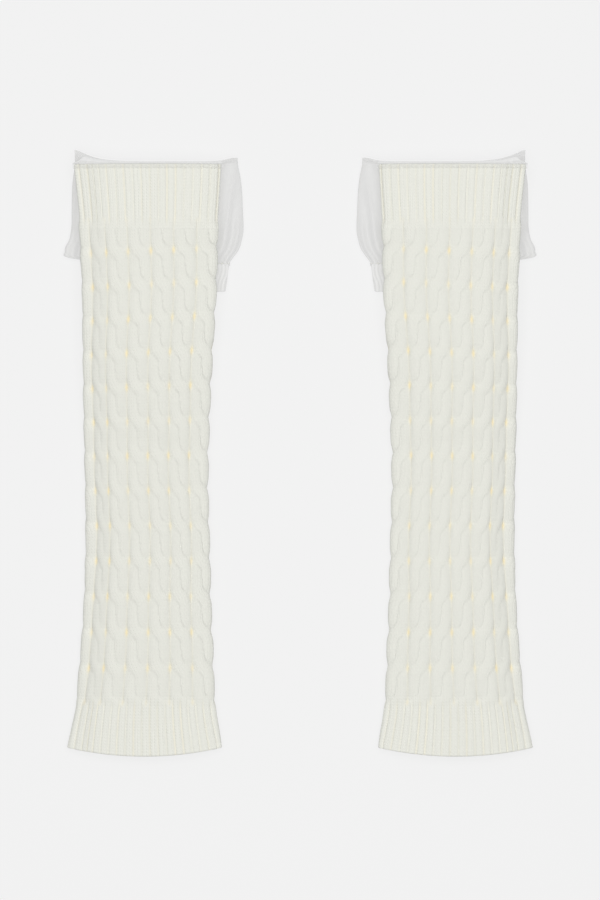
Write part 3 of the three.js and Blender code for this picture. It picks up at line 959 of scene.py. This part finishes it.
class GloveFinish(bpy.types.PropertyGroup):
    """Colours of the yarn and cloth, as linear light."""

    yarn_light: colour_value("Yarn", "Lobes of the knit", (0.795, 0.797, 0.738))
    yarn_shade: colour_value("Yarn shade", "Fibres that lie deeper", (0.74, 0.742, 0.680))
    # Painted light: the warm colour of the pits and gutters, where light comes through the yarn.
    yarn_hollow_light: colour_value("Yarn hollow", "Pits and gutters, where light is tinted", (0.85, 0.755, 0.50))
    yarn_glow: colour_value("Yarn glow", "Light that comes through the pits", (0.03, 0.015, 0.0))
    # Painted shade: the colour the yarn takes where its surface turns away, at the tube's sides.
    yarn_edge_shade: colour_value("Yarn edge", "Yarn seen along its surface", (0.71, 0.72, 0.68))
    sheer_light: colour_value("Sheer", "Organza threads", (0.35, 0.35, 0.35))
    sheer_shade: colour_value("Sheer shade", "Pores of the organza", (0.30, 0.30, 0.30))
    sheer_cover: bpy.props.FloatProperty(
        name="Sheer cover", description="Share of light one layer stops", default=0.67, min=0, max=1
    )
    sheer_glow: bpy.props.FloatProperty(
        name="Sheer glow", description="Light scattered inside one layer", default=0.365, min=0
    )
    thread_light: colour_value("Thread", "Sewing thread", (0.84, 0.83, 0.77))
    elastic_light: colour_value("Elastic", "Elastic tape and label", (0.86, 0.86, 0.85))


# --- Operators -----------------------------------------------------------------------------------


def settings():
    """The scene's sizes and finish."""
    return bpy.context.scene.glove_sizes, bpy.context.scene.glove_finish


class GLOVES_OT_materials(bpy.types.Operator):
    """Make the shader groups and the materials"""

    bl_idname = "gloves.materials"
    bl_label = "Materials"

    def execute(self, context):
        _, finish = settings()
        knit_stitch_group()
        weave_group()
        for make in (knit_material, sheer_material, thread_material, elastic_material, label_material):
            make(finish)
        return {"FINISHED"}


class GLOVES_OT_knit(bpy.types.Operator):
    """Build the ribbed band, the cable length and the ribbed hem of both gloves"""

    bl_idname = "gloves.knit"
    bl_label = "Knitted tubes"

    def execute(self, context):
        sizes, _ = settings()
        material = bpy.data.materials["cream cable knit"]
        foot, head = KNIT["rib_foot"], KNIT["rib_head"]

        def ribs_into_cables(ribs, rib_depth, towards):
            """Ribs that turn into cables over the last few rows before the cable length."""

            def relief_at(place, down):
                rib, rib_hollow_light = rib_relief(place, ribs)
                cable, cable_hollow_light, wale = cable_relief(place, down, sizes)
                near = 1 - smoothstep(0, 9 * MM, np.abs(down - towards))
                relief = rib * rib_depth * (1 - near) + cable * near
                # Painted warm light in the hollows, from the ribs' valleys and the cables' pits.
                hollow_light_mask = 0.25 * rib_hollow_light * (1 - near) + cable_hollow_light * near
                return relief, hollow_light_mask, place * CABLES * STITCHES_PER_CABLE + 0 * wale

            return relief_at

        def cables(place, down):
            return cable_relief(place, down, sizes)

        first, last = crossings_above(np.array([foot, head]), sizes)
        steps = int(round((last - first) * STEPS_PER_CROSSING))
        cable_rows = crossing_down(np.linspace(first, last, steps + 1), sizes)
        upper_rows = np.linspace(1 * MM, foot, 60)
        lower_rows = np.linspace(head, KNIT["length"] - 1 * MM, 60)
        upper_at = ribs_into_cables(sizes.upper_ribs, 0.44, foot)
        lower_at = ribs_into_cables(sizes.lower_ribs, 0.50, head)
        for side in SIDES:
            knit_tube(
                "cable_tube", side, cable_rows, CABLES * STEPS_PER_CABLE, cables, material, sizes, None
            )
            knit_tube(
                "upper_rib", side, upper_rows, CABLES * STEPS_PER_CABLE, upper_at, material, sizes, "top"
            )
            knit_tube(
                "lower_rib", side, lower_rows, CABLES * STEPS_PER_CABLE, lower_at, material, sizes, "foot"
            )
        return {"FINISHED"}


class GLOVES_OT_binding(bpy.types.Operator):
    """Build the sheer band over each knitted edge and the row of stitches that holds it"""

    bl_idname = "gloves.binding"
    bl_label = "Top bindings"

    def execute(self, context):
        sizes, _ = settings()
        columns = 420
        points = binding_points(sizes, columns)
        place = np.arange(columns)[None, :] / columns
        line = knit_points(
            place, 0 * place + 2.6 * MM, -0.72 * sizes.relief_depth - 0.4 * MM, 0 * place, sizes
        )[0]
        *_, out_x, out_z = oval_ring(place, *KNIT_OVAL, sizes.squareness, KNIT_OVAL)
        outward = np.stack([out_x[0], 0 * out_x[0], out_z[0]], axis=-1)
        # Over the knit the band is kept very clear; past the edge its cover and glow rise, painted light
        # that keeps the knit's shaded rim from showing dark.
        row = np.arange(len(points))[:, None]
        past_edge = smoothstep(OVERLAP_ROWS - 2, OVERLAP_ROWS + 1, row)
        shade = BAND_CLEAR + (BAND_CLOSE - BAND_CLEAR) * past_edge + 0 * points[..., 0]
        for side in SIDES:
            piece = new_piece(
                "top_binding", side, points, grid_faces(len(points), columns, False),
                bpy.data.materials["sheer organza"], uv=cloth_map(points, False),
                shade=shade, closed=False,
            )
            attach(piece, f"{side}_glove")
            stitches = stitch_ring(
                "binding_stitches", side, line, outward, sizes.binding_stitches,
                bpy.data.materials["ivory thread"], 0.72, 0.18 * MM,
            )
            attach(stitches, f"{side}_glove")
        return {"FINISHED"}


class GLOVES_OT_puff(bpy.types.Operator):
    """Build the sheer puffs, folded down behind the tubes, and the seams down their sides"""

    bl_idname = "gloves.puff"
    bl_label = "Sheer puffs"

    def execute(self, context):
        sizes, _ = settings()
        sheer = bpy.data.materials["sheer organza"]
        points, gathered = puff_points(sizes)
        rows, columns = points.shape[:2]
        for side in SIDES:
            piece = new_piece(
                "puff", side, points, grid_faces(rows, columns, False), sheer,
                uv=cloth_map(points, False), shade=gathered, closed=False,
            )
            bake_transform(piece)
            seam = seam_strip("puff_seam", side, sheer, 160, 1.4 * MM, 2.5)
            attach(seam, f"{side}_puff")
        return {"FINISHED"}


class GLOVES_OT_cuff(bpy.types.Operator):
    """Build the ruched casings, the elastic in them and the stitches along the gathers"""

    bl_idname = "gloves.cuff"
    bl_label = "Elastic cuffs"

    def execute(self, context):
        sizes, _ = settings()
        casing, folds = casing_points(sizes)
        # The casing's layers lie close, and its pleats' crests glow more: painted light on the crests.
        pressed = 0.4 * folds + 0.8
        tape = elastic_points(sizes)
        place = np.arange(480)[None, :] / 480
        x, z, out_x, out_z = cuff_ring(place, 0 * place - 0.9 * MM, 0 * place + 0.9 * MM, sizes)
        line = np.stack([x[0], 0 * x[0] + CUFF_RINGS[0, 1] + 0.9 * MM, z[0]], axis=-1)
        outward = np.stack([out_x[0], 0 * out_x[0], out_z[0]], axis=-1)
        for side in SIDES:
            piece = new_piece(
                "cuff_casing", side, casing, grid_faces(*casing.shape[:2], True),
                bpy.data.materials["sheer organza"], uv=cloth_map(casing, True), shade=pressed,
            )
            elastic = new_piece(
                "cuff_elastic", side, tape, grid_faces(*tape.shape[:2], True),
                bpy.data.materials["woven elastic"], uv=cloth_map(tape, True),
            )
            gather = stitch_ring(
                "gather_seam", side, line, outward, sizes.gather_stitches,
                bpy.data.materials["ivory thread"], 0.8, 0.3 * MM,
            )
            for made in (piece, elastic, gather):
                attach(made, f"{side}_puff")
        return {"FINISHED"}


class GLOVES_OT_seams(bpy.types.Operator):
    """Build the bound seam down the inside of each tube, and the blank label in the left one"""

    bl_idname = "gloves.seams"
    bl_label = "Seams and label"

    def execute(self, context):
        for side in SIDES:
            seam = seam_strip("side_seam", side, bpy.data.materials["ivory thread"], 700, 2.1 * MM, 2.2)
            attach(seam, f"{side}_glove")
        satin = bpy.data.materials["satin label"]
        label = seam_strip("care_label", "left", satin, 40, 6 * MM, 9.0, lift=0.5 * MM)
        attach(label, "left_glove")
        return {"FINISHED"}


class GLOVES_OT_stage(bpy.types.Operator):
    """Set the floor, the soft light and the camera straight above"""

    bl_idname = "gloves.stage"
    bl_label = "Stage"

    def execute(self, context):
        scene = bpy.context.scene
        scene.view_settings.view_transform = "Standard"
        mesh = bpy.data.meshes.new("floor")
        reach = 3.0
        under_the_gloves = 0.2 * MM
        corners = [(-reach, -reach, 0), (reach, -reach, 0), (reach, reach, 0), (-reach, reach, 0)]
        mesh.from_pydata(corners, [], [(0, 1, 2, 3)])
        floor = bpy.data.objects.new("floor", mesh)
        floor.location.z = -under_the_gloves
        scene.collection.objects.link(floor)
        material, tree, shader = new_material("pale paper")
        shader.inputs["Base Color"].default_value = (0.12, 0.12, 0.12, 1)
        shader.inputs["Roughness"].default_value = 0.9
        shader.inputs["Specular IOR Level"].default_value = 0.0
        shader.inputs["Emission Color"].default_value = (1, 1, 1, 1)
        shader.inputs["Emission Strength"].default_value = 0.755
        mesh.materials.append(material)
        world = scene.world or bpy.data.worlds.new("soft room")
        scene.world = world
        world.use_nodes = True
        world.node_tree.nodes["Background"].inputs["Color"].default_value = (1, 1, 1, 1)
        world.node_tree.nodes["Background"].inputs["Strength"].default_value = 0.42
        lamp = bpy.data.lights.new("soft box", "AREA")
        lamp.shape = "RECTANGLE"
        lamp.size, lamp.size_y = 1.6, 1.6
        lamp.energy = 33
        light = bpy.data.objects.new("soft box", lamp)
        light.location = (0, 0.12, 2.0)
        scene.collection.objects.link(light)
        camera_data = bpy.data.cameras.new("camera")
        distance, seen_height, sensor = 3.0, 605 * MM, 36.0
        camera_data.sensor_width = sensor
        camera_data.lens = sensor * distance / seen_height
        camera_data.clip_end = 20
        camera = bpy.data.objects.new("camera", camera_data)
        camera.location = (0, 3 * MM, distance + 20 * MM)
        scene.collection.objects.link(camera)
        scene.camera = camera
        return {"FINISHED"}


class GLOVES_PT_panel(bpy.types.Panel):
    """Lists the operators and the sizes in the 3D view's sidebar"""

    bl_idname = "GLOVES_PT_panel"
    bl_label = "Fingerless gloves"
    bl_space_type = "VIEW_3D"
    bl_region_type = "UI"
    bl_category = "Gloves"

    def draw(self, context):
        for group in (context.scene.glove_sizes, context.scene.glove_finish):
            box = self.layout.box()
            for name in group.__annotations__:
                box.prop(group, name)
        for operator in OPERATORS:
            self.layout.operator(operator.bl_idname)


OPERATORS = (
    GLOVES_OT_materials,
    GLOVES_OT_knit,
    GLOVES_OT_binding,
    GLOVES_OT_puff,
    GLOVES_OT_cuff,
    GLOVES_OT_seams,
    GLOVES_OT_stage,
)
CLASSES = (GloveSizes, GloveFinish, *OPERATORS, GLOVES_PT_panel)


def register():
    for made in CLASSES:
        bpy.utils.register_class(made)
    bpy.types.Scene.glove_sizes = bpy.props.PointerProperty(type=GloveSizes)
    bpy.types.Scene.glove_finish = bpy.props.PointerProperty(type=GloveFinish)


def unregister():
    del bpy.types.Scene.glove_finish
    del bpy.types.Scene.glove_sizes
    for made in reversed(CLASSES):
        bpy.utils.unregister_class(made)


def main():
    register()
    for operator in OPERATORS:
        module, name = operator.bl_idname.split(".")
        getattr(getattr(bpy.ops, module), name)()


if __name__ == "__main__":
    main()
